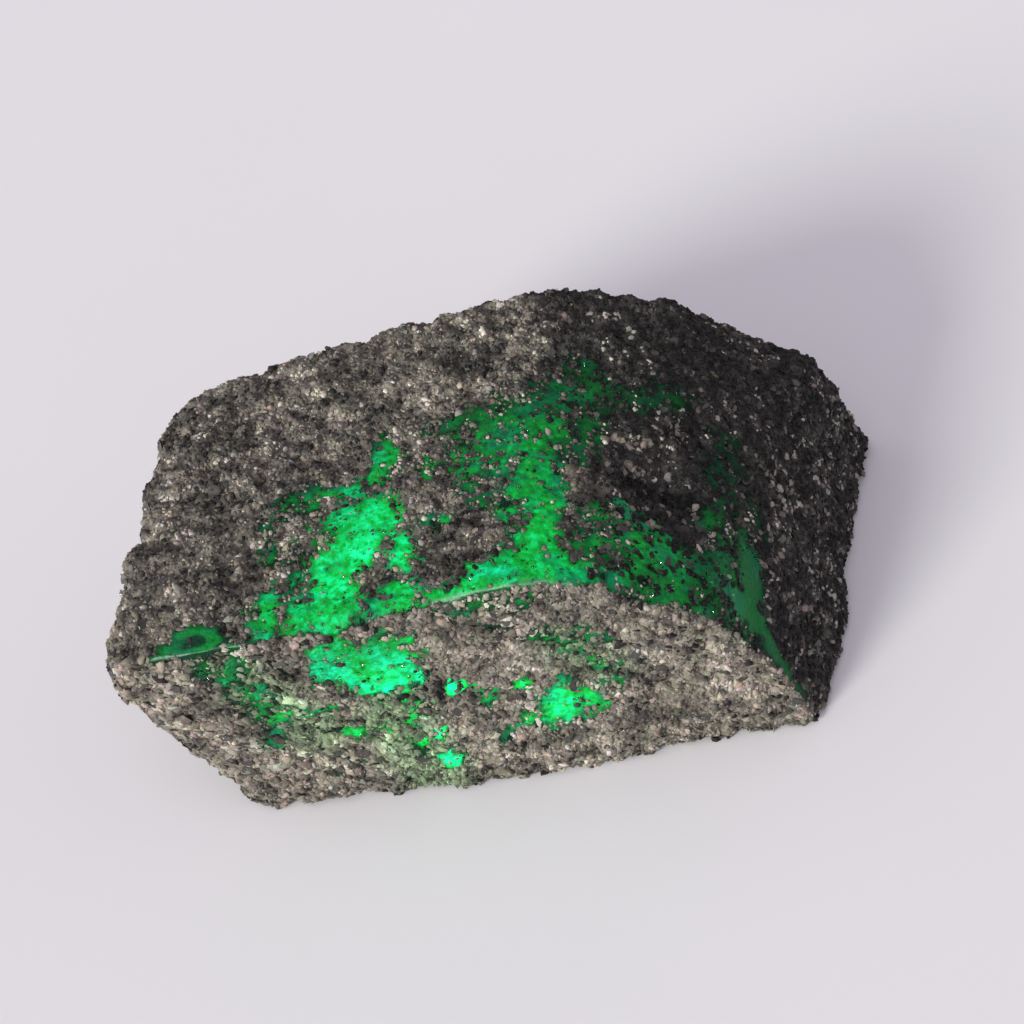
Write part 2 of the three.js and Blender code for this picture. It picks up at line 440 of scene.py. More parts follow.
# the share of each mineral on the top, on the right-hand slopes and on the front wall
SHARES_TOP = np.array([0.13, 0.25, 0.31, 0.21, 0.07, 0.03])
# painted shade: the slopes' shares lean hard towards black mica, which darkens them beyond the real shade of
# facing away from the window
SHARES_SLOPE = np.array([0.77, 0.175, 0.037, 0.011, 0.005, 0.002])
# partly painted light: the front wall's paler, warmer shares also stand for warm light thrown up onto it from
# the floor
SHARES_FRONT = np.array([0.04, 0.11, 0.25, 0.33, 0.22, 0.05])
TONES_TOP = [
    # from, to, reach, how many times as bright
    ((4.4, -4.2), (9.6, -4.6), 1.0, 0.28),  # the black hollow: painted shade, darkening a recess
    ((3.0, -6.2), (7.0, -6.6), 0.5, 0.45),
    ((-9.4, -9.9), (-8.4, -8.9), 1.0, 0.50),
    ((10.7, 0.8), (12.2, -1.6), 1.4, 0.55),
    ((4.2, -1.8), (10.4, -2.2), 1.6, 1.70),  # pinkish bits beside the hollow
    ((-9.2, -10.8), (-7.4, -12.2), 0.9, 0.45),
    ((4.2, 10.6), (-4.8, 6.6), 2.6, 1.45),
    ((-12.8, 4.4), (-6.4, 5.6), 2.2, 1.32),
    ((-0.4, -9.2), (1.8, -4.2), 0.8, 1.35),
    ((14.2, -5.8), (17.2, -4.8), 2.0, 1.35),
]
TONES_FRONT = [
    # from, to, reach, how many times as bright
    ((4.1, 4.3), (8.2, 3.7), 0.6, 0.45),
    ((-9.0, 15.1), (-6.2, 15.2), 0.4, 0.45),
    ((-2.5, 3.4), (0.9, 3.2), 0.6, 0.55),
    ((-25.8, 11.3), (-19.4, 7.0), 0.7, 0.60),
    ((-24.4, 13.4), (-20.8, 10.7), 0.4, 0.55),
    ((-22.4, 14.0), (-18.4, 9.8), 0.9, 1.35),
    ((-25.0, 9.1), (-22.2, 6.6), 0.8, 1.22),
    ((-21.8, 5.4), (-16.9, 3.3), 1.0, 1.18),
    ((-5.9, 2.2), (2.1, 1.9), 1.2, 1.25),
    ((6.1, 10.3), (12.0, 5.5), 1.8, 1.15),
]
print("each grain is one of", len(MINERALS), "minerals")

# %% [markdown]
# The shares change smoothly from one face to the next, so that no border shows. Noise makes darker and
# paler areas. On the front wall it is drawn out along the schist's layers, which show there as streaks. The
# body itself gets the average colour of the minerals, because it is seen only in the gaps between grains.

# %% Which mineral lies where
PATCHES = ((0.32, 3.4 * MM), (0.66, 1.05 * MM))  # strength and spacing of darker and paler areas
BODY_PATCHINESS = 1.4  # how strongly those areas change the body's colour
SLOPE_STARTS = (-1 * MM, 8 * MM)  # between these x the top turns into the black slopes
FOLIATION = np.array([0.88, 0.0, -0.47])  # the schist's layers show as streaks this way on the front wall
PAINTED_GLOW_TINT = np.array([0.92, 1.40, 1.00])  # painted light: the green tint that stands for light from inside on thin crust
DRAWN_OUT = 0.72  # on the front wall areas are drawn out along the layers by this share,
FINER = 0.35  # and are this much finer
TONE_EDGE = (-0.4 * MM, 0.3 * MM)  # between these depths a stroke's tone goes from none to full
FRONT_TURNS = (0.45, 0.75)  # as a normal turns to the front between these, its face joins the front wall
FRONT_CLIMB = 0.6  # unless the normal climbs more than this
SLOPES_TURN = -0.6  # a face whose normal has a y below this isn't part of the slopes


def front_share(normals):
    """1 on the front wall, 0 on the other faces."""
    return smooth_step(-normals[:, 1], *FRONT_TURNS) * (normals[:, 2] < FRONT_CLIMB)


def patchiness(places, front):
    """Soft noise about 0, drawn out into streaks along the foliation on the front wall."""
    along = (places @ FOLIATION)[:, None] * FOLIATION
    drawn_out = places - DRAWN_OUT * along * front[:, None]
    total = np.zeros(len(places))
    for strength, spacing in PATCHES:
        total += strength * noise_at(drawn_out / (spacing * (1 - FINER * front[:, None])))
    return total


def mineral_shares(places, normals):
    """The share of each mineral at each place."""
    # the slope share carries painted shade, and the front share partly painted warm light
    slope = (smooth_step(places[:, 0], *SLOPE_STARTS) * (normals[:, 1] > SLOPES_TURN))[:, None]
    front = front_share(normals)[:, None]
    shares = SHARES_TOP * (1 - slope) + SHARES_SLOPE * slope
    return shares * (1 - front) + SHARES_FRONT * front


def tone(places, normals):
    """How bright the crust is at each place, beside the ordinary crust."""
    depth, factor = in_strokes(places, normals, TONES_TOP, TONES_FRONT)
    return 1 + (factor - 1) * smooth_step(depth, *TONE_EDGE)


body_patch = patchiness(places, front_share(normals))
body_schist = mineral_shares(places, normals) @ MINERALS
body_schist *= (tone(places, normals) * (1 + BODY_PATCHINESS * body_patch))[:, None]
# painted light: thin crust is tinted green for the light from inside
body_schist *= 1 + (PAINTED_GLOW_TINT - 1) * body_painted_glow[:, None]
print("the crust's mean colour is", body_schist.mean(axis=0).round(3))

# %% [markdown]
# These numbers go onto the body as attributes, which its material reads later. The depth also says where the
# body is rough: a vertex group keeps two Displace modifiers off the worn patches, so that the crust comes
# out lumpy and pitted while the emerald stays almost smooth. Where the top meets the front wall, the ridge
# gets a painted highlight, a fine pale line in two places, on the vertices whose normals point half-way.

# %% Roughen the body under the crust
ATTRIBUTE_REACH = 1.0 * MM  # the worn attribute goes from 0 to 1 over twice this depth
UNDER_GRAINS = 0.55 * MM  # how far the emerald goes on under the loose edge of the crust
RIDGE_RISE = 0.62  # the climb of a normal on the ridge
RIDGE_WIDTH = 0.17  # how far from that climb the line still shows
HIGHLIGHTED_RIDGE = ((-27.4, -21.8), (-9.6, -0.4))  # the painted ridge highlight shows from one x to another, in millimetres
CRUST_EDGE = (-0.5 * MM, 0.3 * MM)  # between these depths the roughness goes from full to none
ROUGHNESS = (
    # name, kind, spacing, height
    ("grit", "VORONOI", 0.8 * MM, 0.35 * MM),
    ("bumps", "CLOUDS", 1.5 * MM, 0.85 * MM),
)


def add_attribute(mesh, name, values):
    """Stores one number for each vertex of a mesh."""
    attribute = mesh.attributes.new(name, "FLOAT", "POINT")
    attribute.data.foreach_set("value", np.asarray(values, np.float32))


def add_colours(mesh, name, colours):
    """Stores one colour for each vertex of a mesh."""
    attribute = mesh.attributes.new(name, "FLOAT_COLOR", "POINT")
    attribute.data.foreach_set("color", np.column_stack([colours, np.ones(len(colours))]).ravel())


def rough_texture(name, kind, spacing):
    """A texture for a Displace modifier, with its pattern repeating about every spacing."""
    texture = bpy.data.textures.new(name, kind)
    texture.noise_scale = spacing
    return texture


# painted highlight: a pale line on the ridge, where the normals point half-way between the top and the front
painted_ridge_highlight = np.exp(-((normals[:, 2] - RIDGE_RISE) / RIDGE_WIDTH) ** 2) * (normals[:, 1] < -0.4)
on_ridge = np.zeros(len(places), bool)
for start, end in HIGHLIGHTED_RIDGE:
    on_ridge |= (places[:, 0] > start * MM) & (places[:, 0] < end * MM)
add_attribute(body.data, "worn", np.clip(0.5 + 0.5 * (body_depth + UNDER_GRAINS) / ATTRIBUTE_REACH, 0, 1))
add_attribute(body.data, "clear", body_clear)
add_attribute(body.data, "polish", body_polish)
add_attribute(body.data, "edge", painted_ridge_highlight * on_ridge)
add_colours(body.data, "schist", body_schist)
crusted = body.vertex_groups.new(name="crusted")
for index, weight in enumerate(1 - smooth_step(body_depth, *CRUST_EDGE)):
    if weight > 0:
        crusted.add([index], float(weight), "REPLACE")
for name, kind, spacing, height in ROUGHNESS:
    modify(body, "DISPLACE", texture=rough_texture(name, kind, spacing), strength=height,
           mid_level=0.5, vertex_group="crusted", texture_coords="LOCAL")
roughened, _ = points_of(body.data)
body.data.vertices.foreach_set("co", np.clip(roughened, cad_low, cad_high).astype(np.float32).ravel())
body.data.update()
print("the crust was moved by up to", round(1000 * np.abs(roughened - places).max(), 2), "mm")

# %% [markdown]
# A grain of sand is a broken crystal whose corners are worn. We start from a small ball of triangles, knock
# its corners about at random, and cut pieces off it in edit mode with the bisect tool, which also fills each
# cut. A few such seeds of each size, turned and stretched at random, are enough that no two grains on the
# stone look alike. A plate of mica is a flat six-sided cylinder.

# %% Seeds for the grains


def take_seed(thing):
    """A seed object's places and triangles as arrays. The object itself is removed."""
    mesh = thing.data
    mesh.calc_loop_triangles()
    places = np.array([v.co[:] for v in mesh.vertices])
    triangles = np.array([t.vertices[:] for t in mesh.loop_triangles])
    bpy.data.objects.remove(thing)
    return places, triangles


def cut_corners(count, nearest, farthest):
    """Cuts pieces off the mesh in edit mode, each with a plane that faces a random way."""
    for _ in range(count):
        way = Vector(CHANCE.normal(size=3)).normalized()
        bpy.ops.mesh.select_all(action="SELECT")
        bpy.ops.mesh.bisect(plane_co=way * CHANCE.uniform(nearest, farthest), plane_no=way,
                            use_fill=True, clear_outer=True)


def grain_seed(number, subdivisions, knock, cuts, merge):
    """One grain about 2 units across, as (places, triangles). merge is how close corners melt together."""
    bpy.ops.object.select_all(action="DESELECT")
    bpy.ops.mesh.primitive_ico_sphere_add(subdivisions=subdivisions, radius=1.0)
    grain = bpy.context.active_object
    bpy.ops.object.mode_set(mode="EDIT")
    bpy.ops.mesh.select_all(action="SELECT")
    bpy.ops.transform.vertex_random(offset=knock, uniform=0.0, normal=0.0, seed=number)
    cut_corners(cuts, 0.45, 0.7)
    bpy.ops.mesh.select_all(action="SELECT")
    bpy.ops.mesh.remove_doubles(threshold=merge)
    bpy.ops.mesh.quads_convert_to_tris()
    bpy.ops.mesh.normals_make_consistent(inside=False)
    bpy.ops.object.mode_set(mode="OBJECT")
    return take_seed(grain)


def flake_seed():
    """A flat six-sided plate of mica about 2 units across, as (places, triangles)."""
    bpy.ops.object.select_all(action="DESELECT")
    bpy.ops.mesh.primitive_cylinder_add(vertices=6, radius=1.0, depth=0.3)
    flake = bpy.context.active_object
    bpy.ops.object.mode_set(mode="EDIT")
    bpy.ops.mesh.select_all(action="SELECT")
    bpy.ops.mesh.quads_convert_to_tris()
    bpy.ops.object.mode_set(mode="OBJECT")
    return take_seed(flake)


COARSE_SEEDS = [grain_seed(i, subdivisions=2, knock=0.22, cuts=4, merge=0.25) for i in range(6)]
SAND_SEEDS = [grain_seed(10 + i, subdivisions=1, knock=0.30, cuts=1, merge=0.42) for i in range(8)]
GRIT_SEEDS = [grain_seed(20 + i, subdivisions=1, knock=0.30, cuts=1, merge=0.75) for i in range(6)]
FLAKE_SEEDS = [flake_seed()]
for kind, seeds in (("coarse", COARSE_SEEDS), ("sand", SAND_SEEDS), ("grit", GRIT_SEEDS)):
    print("triangles in the", kind, "seeds:", [len(seed[1]) for seed in seeds])

# %% [markdown]
# Grains cover the stone evenly, without a grid showing. We throw far too many points at random onto the
# body's faces, and keep one in each small cube of space. The size of the cube sets how close together the
# grains lie. Each point also takes the body's own values from the corners of the face that it lies on.

# %% Scatter points on the body
body.data.calc_loop_triangles()
corner_ids = np.array([t.vertices[:] for t in body.data.loop_triangles])
body_places, body_normals = points_of(body.data)
# place, normal, depth, clear, painted green glow and polish, side by side, so that one sum spreads them all
body_values = np.column_stack([body_places, body_normals, body_depth, body_clear, body_painted_glow, body_polish])
PLACE = slice(0, 3)
NORMAL = slice(3, 6)
DEPTH, CLEAR, PAINTED_GLOW_ROW, POLISHED = range(6, 10)
THROWS = 6  # how many points are thrown at each square of the surface that is one pitch wide
print(len(corner_ids), "triangles to throw points at")


def scatter(pitch):
    """Points on the body about one pitch apart, as rows like those of body_values."""
    corners = body_places[corner_ids]
    areas = np.linalg.norm(np.cross(corners[:, 1] - corners[:, 0], corners[:, 2] - corners[:, 0]), axis=1) / 2
    count = int(THROWS * areas.sum() / pitch**2)
    face = CHANCE.choice(len(areas), count, p=areas / areas.sum())
    a, b = CHANCE.random(count), CHANCE.random(count)
    a, b = np.where(a + b > 1, 1 - a, a), np.where(a + b > 1, 1 - b, b)
    shares = np.stack([1 - a - b, a, b], axis=1)[:, :, None]
    rows = (body_values[corner_ids[face]] * shares).sum(axis=1)
    _, kept = np.unique(np.floor(rows[:, PLACE] / pitch).astype(int), axis=0, return_index=True)
    rows = rows[CHANCE.permutation(kept)]
    rows[:, NORMAL] /= np.linalg.norm(rows[:, NORMAL], axis=1)[:, None]
    return rows


# %% [markdown]
# Copying a grain forty thousand times with operators would take hours. Instead, one function lays every
# copy of the seeds in a single array of vertices, each copy turned, stretched and set into the body, and
# makes one mesh of them. On the front wall the copies are drawn out along the schist's layers. Every vertex
# also keeps the colour of its grain. No vertex may leave the solid's own box, so the stone's foot stays flat.

# %% Lay grains on the body
GRAIN_CREASE = math.radians(62)  # edges between faces that meet more sharply than this stay sharp
GRAIN_LENGTH = (0.85, 1.25)  # the least and the most, beside a grain's own size
GRAIN_WIDTH = (0.65, 1.0)
GRAIN_HEIGHT = (0.8, 1.1)
LAYERS_TURN = 2.5  # how strongly the schist's layers turn the grains their way
LAYERS_STRETCH = 0.45  # and how much longer they make them
LAYERS_SHOW = (8 * MM, 20 * MM)  # left of the middle, between these distances, they show more and more
LAYERS_FAINT = 0.45  # how much they show on the rest of the front wall


def streakiness(places, normals):
    """How strongly grains follow the schist's layers: most of all at the left of the front wall."""
    at_left = smooth_step(-places[:, 0], *LAYERS_SHOW)
    return front_share(normals) * (LAYERS_FAINT + (1 - LAYERS_FAINT) * at_left)


def turned_frames(normals, tilt, streak):
    """A turning matrix for each grain: X mostly along the layers where they show, Z near the normal."""
    up = normals + tilt * CHANCE.normal(size=normals.shape)
    up /= np.linalg.norm(up, axis=1)[:, None]
    way = CHANCE.normal(size=normals.shape) + LAYERS_TURN * streak[:, None] * FOLIATION
    way -= (way * up).sum(axis=1)[:, None] * up
    way /= np.linalg.norm(way, axis=1)[:, None]
    return np.stack([way, np.cross(up, way), up], axis=2)


def lay_grains(name, seeds, places, normals, colours, sizes, flatness, tilt):
    """One mesh of many grains. sizes holds each grain's half width, and flatness its height beside that."""
    streak = streakiness(places, normals)
    turns = turned_frames(normals, tilt, streak)
    stretch = np.stack([
        CHANCE.uniform(*GRAIN_LENGTH, len(places)) * (1 + LAYERS_STRETCH * streak),
        CHANCE.uniform(*GRAIN_WIDTH, len(places)),
        CHANCE.uniform(*GRAIN_HEIGHT, len(places)) * flatness,
    ], axis=1) * sizes[:, None]
    kind = CHANCE.integers(len(seeds), size=len(places))
    vertices, triangles, tints, start = [], [], [], 0
    for number, (seed_places, seed_triangles) in enumerate(seeds):
        mine = kind == number
        grains = np.einsum("nij,nvj->nvi", turns[mine], seed_places[None] * stretch[mine][:, None])
        grains += places[mine][:, None]
        firsts = start + len(seed_places) * np.arange(mine.sum())
        vertices.append(grains.reshape(-1, 3))
        triangles.append((firsts[:, None, None] + seed_triangles[None]).reshape(-1, 3))
        tints.append(np.repeat(colours[mine], len(seed_places), axis=0))
        start += len(vertices[-1])
    mesh = bpy.data.meshes.new(name)
    mesh.from_pydata(np.clip(np.concatenate(vertices), cad_low, cad_high), [], np.concatenate(triangles))
    add_colours(mesh, "mineral", np.concatenate(tints))
    grains = bpy.data.objects.new(name, mesh)
    bpy.context.scene.collection.objects.link(grains)
    pick(grains)
    bpy.ops.object.shade_smooth_by_angle(angle=GRAIN_CREASE)
    print(name, "has", len(places), "grains and", len(mesh.polygons), "triangles")
    return grains


# %% [markdown]
# A coat is one size of grain, strewn over the stone. It thins out from the crust into the worn patches, where
# the grains that are left lie in clumps, and none of it clings to the polished faces. Each grain draws its
# mineral from the shares where it lies. Dark and pale grains go into meshes of their own, because dark mica
# and pale quartz don't shine alike.

# %% Make a coat of grains
DARK_BELOW = 0.068  # a grain whose green channel is under this is a dark one
THINNING = (-0.9 * MM, 0.6 * MM)  # between these depths a coat goes from full to sparse
DIM_BELOW = 0.72  # a patch less clear than this keeps more grains, and the dimmer it is, the more
DIM_KEEPS = 1.25
CLUMPS = 0.8 * MM  # the grains left inside a patch lie in clumps about this far apart
CLUMP_EDGES = (-0.2, 0.4)  # between these values of the noise a clump goes from none to full
CLUMP_GAIN = 2.2  # how much thicker they lie in a clump than on average
MOST_LEFT = 0.95  # of the crust's own thickness, even in a clump
FACES_DOWN = -0.7  # a face whose normal has a z below this is the hidden foot
FOOT_KEEPS = 0.6  # the foot keeps this share of its grains
OWN_COLOUR = 0.72  # 1 where each grain draws its mineral alone, less where neighbours are alike
PATCH_DRAW = 1.15  # how strongly a dark or a pale area pulls that draw its way
PATCH_SHADE = 0.6  # and how much it changes the mineral's own brightness
SHADES = (0.87, 1.14)  # the least and the most that chance changes a grain's brightness
HUES = (0.90, 1.10)  # and each of its three channels


def coat_places(pitch, outside, inside):
    """Scattered rows, thinned from the share outside the worn patches to the share inside them."""
    rows = scatter(pitch)
    clumping = smooth_step(noise_at(rows[:, PLACE] / CLUMPS), *CLUMP_EDGES)
    dim_keeps = DIM_KEEPS * (DIM_BELOW - rows[:, CLEAR]).clip(0, 1)
    left = outside * (inside + dim_keeps) * CLUMP_GAIN * clumping
    left = np.minimum(left, MOST_LEFT * outside)
    chance = outside + (left - outside) * smooth_step(rows[:, DEPTH], *THINNING)
    facing_down = rows[:, NORMAL][:, 2] < FACES_DOWN
    chance = chance * (1 - rows[:, POLISHED]) * np.where(facing_down, FOOT_KEEPS, 1)
    return rows[CHANCE.random(len(rows)) < chance]


def mineral_colours(rows, paler):
    """A colour for each grain, from the shares of minerals where it lies."""
    places, normals = rows[:, PLACE], rows[:, NORMAL]
    patch = patchiness(places, front_share(normals))
    draw = 0.5 + OWN_COLOUR * (CHANCE.random(len(rows)) - 0.5) + PATCH_DRAW * patch
    draw = (draw.clip(0, 0.999) * (1 - paler) + paler)[:, None]
    which = (draw > np.cumsum(mineral_shares(places, normals), axis=1)).sum(axis=1)
    shade = tone(places, normals) * (1 + PATCH_SHADE * patch)
    colours = MINERALS[which.clip(0, len(MINERALS) - 1)] * shade[:, None]
    # painted light: grains on thin crust take the green tint of light from inside
    colours *= 1 + (PAINTED_GLOW_TINT - 1) * rows[:, PAINTED_GLOW_ROW, None]
    return colours * CHANCE.uniform(*SHADES, (len(rows), 1)) * CHANCE.uniform(*HUES, (len(rows), 3))


def make_coat(kind, seeds, pitch, outside, inside, size, sink, flatness, tilt, paler=0.0):
    """Scatters one size of grain as a dark mesh and a pale one. sink says how deep its middle sits."""
    rows = coat_places(pitch, outside, inside)
    places, normals = rows[:, PLACE], rows[:, NORMAL]
    sizes = CHANCE.uniform(*size, len(rows)) * MM
    set_in = places - normals * (sink * sizes)[:, None]
    colours = mineral_colours(rows, paler)
    is_dark = colours[:, 1] < DARK_BELOW
    pieces = []
    for shade, mine in (("dark_", is_dark), ("pale_", ~is_dark)):
        pieces.append(lay_grains(shade + kind, seeds, set_in[mine], normals[mine], colours[mine],
                                 sizes[mine], flatness, tilt))
    return pieces


# %% [markdown]
# There are four coats, laid one over the other. Coarse bits come first, then a dense coat of ordinary sand,
# and fine grit that fills the gaps. The last is a sparse dust, paler than the rest, which lies in the worn
# patches as thick as on the crust and glitters against the green. Sizes are half widths in millimetres.

# %% The four coats
coarse = make_coat("coarse_grains", COARSE_SEEDS, pitch=1.2 * MM, outside=0.60, inside=0.01,
                   size=(0.30, 0.60), sink=0.60, flatness=0.65, tilt=0.35)
sand = make_coat("sand", SAND_SEEDS, pitch=0.53 * MM, outside=0.92, inside=0.02,
                 size=(0.16, 0.36), sink=0.34, flatness=0.80, tilt=0.5)
grit = make_coat("grit", GRIT_SEEDS, pitch=0.49 * MM, outside=0.85, inside=0.07,
                 size=(0.09, 0.18), sink=0.10, flatness=0.90, tilt=0.6)
dust = make_coat("dust", GRIT_SEEDS, pitch=0.5 * MM, outside=0.24, inside=1.0,
                 size=(0.05, 0.12), sink=0.0, flatness=0.9, tilt=0.6, paler=0.55)
dark_grains = [coarse[0], sand[0], grit[0], dust[0]]
pale_grains = [coarse[1], sand[1], grit[1], dust[1]]

# %% [markdown]
# A few lumps of quartz and pink feldspar, about a millimetre across, stick out of the schist: beside the
# black hollow, and in layers on the left of the front wall. In the coarse coat they would lie everywhere, so
# they are a mesh of their own, with strokes to say where they lie.

# %% Lumps of feldspar
LUMPS_TOP = [
    # from, to, reach
    ((9.1, -2.8), (9.9, -4.1), 0.6),
    ((8.2, -5.8), (8.4, -5.7), 0.5),
    ((6.5, -7.8), (6.7, -7.7), 0.5),
    ((5.0, -6.2), (5.3, -6.1), 0.5),
    ((4.0, -1.6), (8.1, -1.2), 0.8),
    ((4.6, -2.8), (6.7, -2.9), 0.5),
    ((8.8, -0.6), (10.2, 1.0), 0.7),
    ((9.2, -6.0), (11.0, -5.2), 0.6),
    ((15.0, -8.0), (16.6, -4.8), 0.9),
    ((17.0, -2.2), (19.0, 0.8), 0.9),
    ((-12.6, 4.4), (-9.4, 5.4), 0.9),
]
LUMPS_FRONT = [
    # from, to, reach
    ((-27.0, 12.9), (-22.8, 10.0), 0.7),
    ((-25.2, 9.5), (-21.2, 5.9), 0.9),
    ((-22.6, 4.6), (-18.2, 3.4), 0.9),
    ((-6.2, 2.2), (-0.9, 2.0), 0.8),
    ((-15.8, 8.9), (-14.3, 8.1), 0.4),
]
LUMP_PITCH = 0.95 * MM
LUMPS_KEPT = 0.7  # the share of the scattered points that get a lump
LUMP_SIZE = (0.26, 0.5)  # half widths, in millimetres
LUMP_SHADES = (0.65, 1.0)
LUMP_MINERALS = [3, 4, 4, 5]  # places in the list of minerals: half of the lumps are pink feldspar
LUMP_SINK = 0.3

lump_rows = scatter(LUMP_PITCH)
lump_depth, _ = in_strokes(lump_rows[:, PLACE], lump_rows[:, NORMAL], LUMPS_TOP, LUMPS_FRONT)
lump_rows = lump_rows[(lump_depth > 0) & (CHANCE.random(len(lump_rows)) < LUMPS_KEPT)]
lump_colours = MINERALS[CHANCE.choice(LUMP_MINERALS, len(lump_rows))]
lump_colours = lump_colours * CHANCE.uniform(*LUMP_SHADES, (len(lump_rows), 1))
lump_sizes = CHANCE.uniform(*LUMP_SIZE, len(lump_rows)) * MM
lump_places = lump_rows[:, PLACE] - LUMP_SINK * lump_rows[:, NORMAL] * lump_sizes[:, None]
lumps = lay_grains("feldspar_lumps", COARSE_SEEDS, lump_places, lump_rows[:, NORMAL], lump_colours,
                   lump_sizes, flatness=0.7, tilt=0.25)
pale_grains.append(lumps)

# %% [markdown]
# Thin plates of dark mica lie among the grains, and catch the light when they face it. A flattened grain has
# no face wide enough to flash, so they are made from the six-sided seed, and lie nearly flat on the crust.

# %% Plates of mica
FLAKE_PITCH = 1.3 * MM
FLAKE_SIZE = (0.2, 0.40)  # half widths, in millimetres
FLAKE_LIFT = 0.04 * MM
MICA = (0.050, 0.046, 0.042)

flake_rows = coat_places(FLAKE_PITCH, outside=0.5, inside=0.04)
flake_places = flake_rows[:, PLACE] + flake_rows[:, NORMAL] * FLAKE_LIFT
flake_sizes = CHANCE.uniform(*FLAKE_SIZE, len(flake_rows)) * MM
flakes = lay_grains("mica_flakes", FLAKE_SEEDS, flake_places, flake_rows[:, NORMAL],
                    np.tile(MICA, (len(flake_rows), 1)), flake_sizes, flatness=0.4, tilt=0.28)

# %% [markdown]
# The scraping left small chips of clear emerald in the worn patches. They are sharp, so their seeds are cut
# from cubes and stay flat-sided.

# %% Chips of emerald


def chip_seed():
    """One sharp chip about 2 units across, as (places, triangles)."""
    bpy.ops.object.select_all(action="DESELECT")
    bpy.ops.mesh.primitive_cube_add(size=1.6)
    chip = bpy.context.active_object
    bpy.ops.object.mode_set(mode="EDIT")
    cut_corners(3, 0.3, 0.6)
    bpy.ops.mesh.select_all(action="SELECT")
    bpy.ops.mesh.quads_convert_to_tris()
    bpy.ops.object.mode_set(mode="OBJECT")
    return take_seed(chip)


CHIP_PITCH = 0.62 * MM
CHIPS_KEPT = 0.35  # the share of the scattered points that get a chip
CHIP_SIZE = (0.07, 0.2)  # half widths, in millimetres
CHIP_EDGE = (-0.2 * MM, 0.3 * MM)  # between these depths in a worn patch the chips go from none to all
CHIP_GREEN = (0.0, 0.5, 0.15)
CHIP_SEEDS = [chip_seed() for _ in range(4)]

chip_rows = scatter(CHIP_PITCH)
chip_chance = CHIPS_KEPT * smooth_step(chip_rows[:, DEPTH], *CHIP_EDGE) * (1 - chip_rows[:, POLISHED])
chip_rows = chip_rows[CHANCE.random(len(chip_rows)) < chip_chance]
chip_sizes = CHANCE.uniform(*CHIP_SIZE, len(chip_rows)) * MM
chips = lay_grains("emerald_chips", CHIP_SEEDS, chip_rows[:, PLACE], chip_rows[:, NORMAL],
                   np.tile(CHIP_GREEN, (len(chip_rows), 1)), chip_sizes, flatness=0.8, tilt=0.6)

# %% [markdown]
# Small node-building helpers keep the materials short. Every material reads Object coordinates or an
# attribute of its own mesh, so its pattern stays fixed to the stone.

# %% Helpers for materials


class Nodes:
    """Builds one material, node by node."""

    def __init__(self, name):
        self.material = bpy.data.materials.new(name)
        self.material.use_nodes = True
        self.tree = self.material.node_tree
        self.tree.nodes.clear()
        self.coordinates = self.tree.nodes.new("ShaderNodeTexCoord").outputs["Object"]

    def add(self, kind, inputs=None, **settings):
        """Adds a node. Each input is a plain value, or a socket to link from."""
        node = self.tree.nodes.new("ShaderNode" + kind)
        for setting, value in settings.items():
            setattr(node, setting, value)
        for name, value in (inputs or {}).items():
            if isinstance(value, bpy.types.NodeSocket):
                self.tree.links.new(value, node.inputs[name])
            else:
                node.inputs[name].default_value = value
        return node

    def noise(self, spacing, detail=3.0, roughness=0.55):
        """Cloudy noise from 0 to 1 whose blobs are about one spacing apart."""
        return self.add("TexNoise", {"Vector": self.coordinates, "Scale": 1 / spacing,
                                     "Detail": detail, "Roughness": roughness}).outputs["Fac"]

    def attribute(self, name, output="Fac"):
        """A value stored on the mesh."""
        return self.add("Attribute", attribute_name=name).outputs[output]

    def math(self, operation, a, b):
        """One sum of two values."""
        return self.add("Math", {0: a, 1: b}, operation=operation).outputs[0]

    def ramp(self, value, low, high, to_low=0.0, to_high=1.0):
        """Takes low..high to to_low..to_high, and holds it there outside."""
        return self.add("MapRange", {"Value": value, "From Min": low, "From Max": high,
                                     "To Min": to_low, "To Max": to_high}).outputs[0]

    def colours(self, value, stops):
        """A colour ramp. stops is a list of (place, colour)."""
        ramp = self.add("ValToRGB", {"Fac": value})
        elements = ramp.color_ramp.elements
        while len(elements) < len(stops):
            elements.new(0.5)
        for element, (place, colour) in zip(elements, stops):
            element.position = place
            element.color = (*colour, 1)
        return ramp.outputs["Color"]

    def mix(self, share, a, b, blend="MIX"):
        """Mixes two colours."""
        mixer = self.add("Mix", {0: share, 6: a, 7: b}, data_type="RGBA", blend_type=blend)
        return mixer.outputs[2]

    def grey(self, value):
        """A grey whose three channels are one value."""
        return self.add("CombineColor", {0: value, 1: value, 2: value}).outputs[0]

    def specks(self, spacing, dimmest, brightest):
        """Small cells, each with a brightness of its own between these two."""
        cells = self.add("TexVoronoi", {"Vector": self.coordinates, "Scale": 1 / spacing}).outputs["Color"]
        cell = self.add("SeparateColor", {"Color": cells}).outputs[0]
        return self.ramp(cell, 0.0, 1.0, dimmest, brightest)

    def bump(self, height, depth):
        """A normal bent by a height, where 1 stands for depth in metres."""
        return self.add("Bump", {"Height": height, "Distance": depth, "Strength": 1.0}).outputs[0]

    def finish(self, shader):
        """Ends the material in this shader."""
        output = self.tree.nodes.new("ShaderNodeOutputMaterial")
        self.tree.links.new(shader, output.inputs["Surface"])
        print("the material", self.material.name, "has", len(self.tree.nodes), "nodes")
        return self.material


# %% [markdown]
# The body's material is two in one: schist and emerald. The schist is what shows between the grains. It takes
# the colour stored on the body, and breaks it up with cells as small as grit and with cloudy noise.

# %% Schist between the grains


